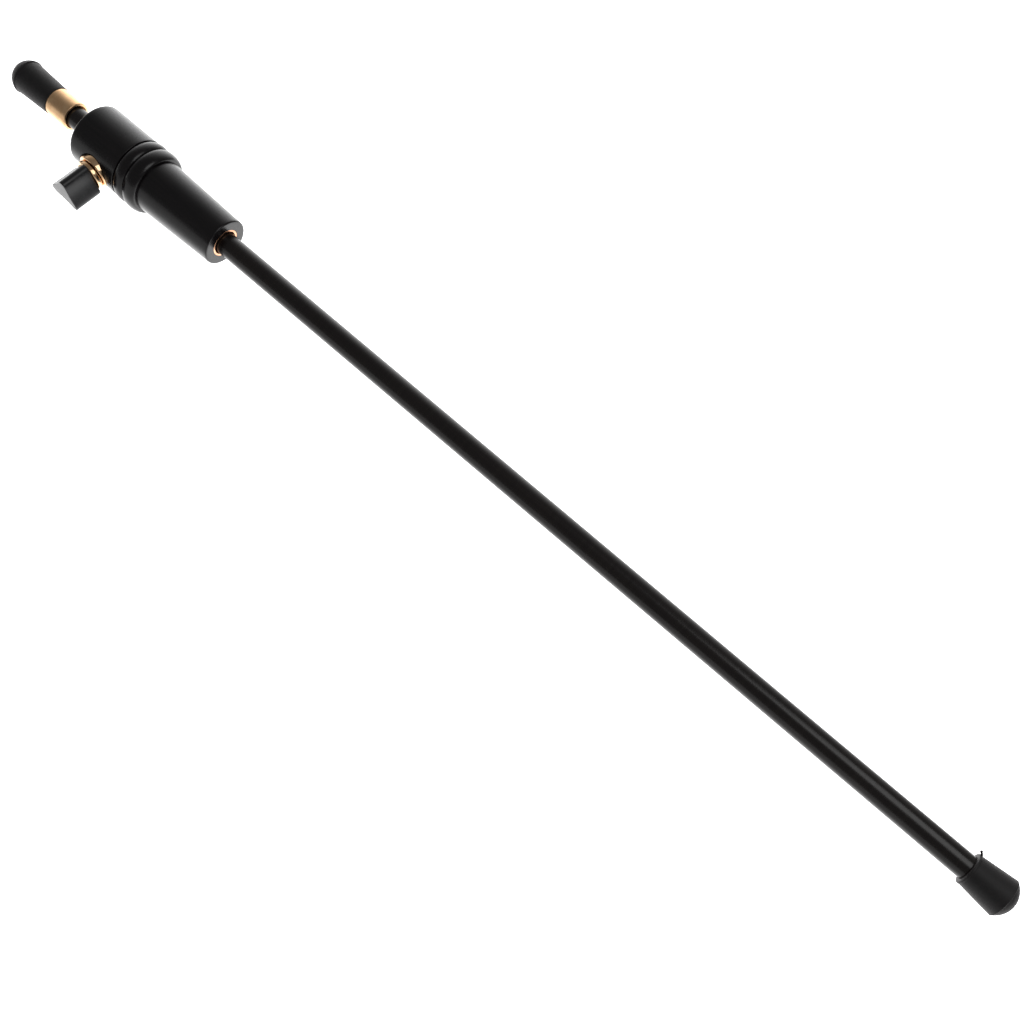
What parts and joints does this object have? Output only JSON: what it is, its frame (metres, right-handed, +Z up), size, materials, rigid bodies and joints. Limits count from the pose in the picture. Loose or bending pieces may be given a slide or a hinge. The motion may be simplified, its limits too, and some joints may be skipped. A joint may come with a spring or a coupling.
{
  "type": "cello endpin",
  "caption": "Cello endpin: tapered black plug whose side thumbscrew clamps a sliding round rod, with a ferrule, a spike under a rubber cap and a rubber stop on the rod's inner end.",
  "frame": {"origin": "on the rod's axis, at the plug's shoulder face that seats against the instrument", "axes": "+X along the rod towards the end inside the instrument, +Z up with the part lying on its beads and its knob"},
  "size_m": [0.5335, 0.0465, 0.0296],
  "materials": {
    "ebony": "turned and polished, satin gloss",
    "liner_copper": "turned, unpolished",
    "polished_brass": "polished",
    "satin_brass": "satin, fine turning marks",
    "black_knob": "satin black moulding",
    "black_rod": "satin black",
    "bright_steel": "turned",
    "black_rubber": "moulded, matte"
  },
  "bodies": {
    "plug": {"plug_body": "ebony", "liner_tube": "liner_copper", "screw_bush": "polished_brass"},
    "clamp_shoe": {"clamp_shoe": "polished_brass"},
    "thumbscrew": {"screw_stem": "polished_brass", "screw_knob": "black_knob"},
    "rod": {"rod_tube": "black_rod", "ferrule": "satin_brass", "spike_socket": "bright_steel", "spike": "bright_steel"},
    "floor_cap": {"floor_cap": "black_rubber"},
    "inner_stop": {"inner_stop": "black_rubber"}
  },
  "joints": [
    {"name": "rod_slide", "type": "slide", "parent": "plug", "child": "rod", "axis": [-1, 0, 0], "range_m": [-0.0125, 0.3802]},
    {"name": "screw_advance", "type": "slide", "parent": "plug", "child": "clamp_shoe", "axis": [0, -0.959, -0.2834], "range_m": [0, 0.002]},
    {"name": "screw_turn", "type": "hinge", "parent": "clamp_shoe", "child": "thumbscrew", "pos_m": [-0.0251, 0, 0], "axis": [0, -0.959, -0.2834], "range_deg": [0, 720]},
    {"name": "floor_cap_pull", "type": "slide", "parent": "rod", "child": "floor_cap", "axis": [-1, 0, 0], "range_m": [0, 0.028]},
    {"name": "inner_stop_pull", "type": "slide", "parent": "rod", "child": "inner_stop", "axis": [1, 0, 0], "range_m": [0, 0.022]}
  ],
  "couplings": [
    {"joint": "screw_turn", "follows": "screw_advance", "rad_per_m": 6283.2}
  ]
}
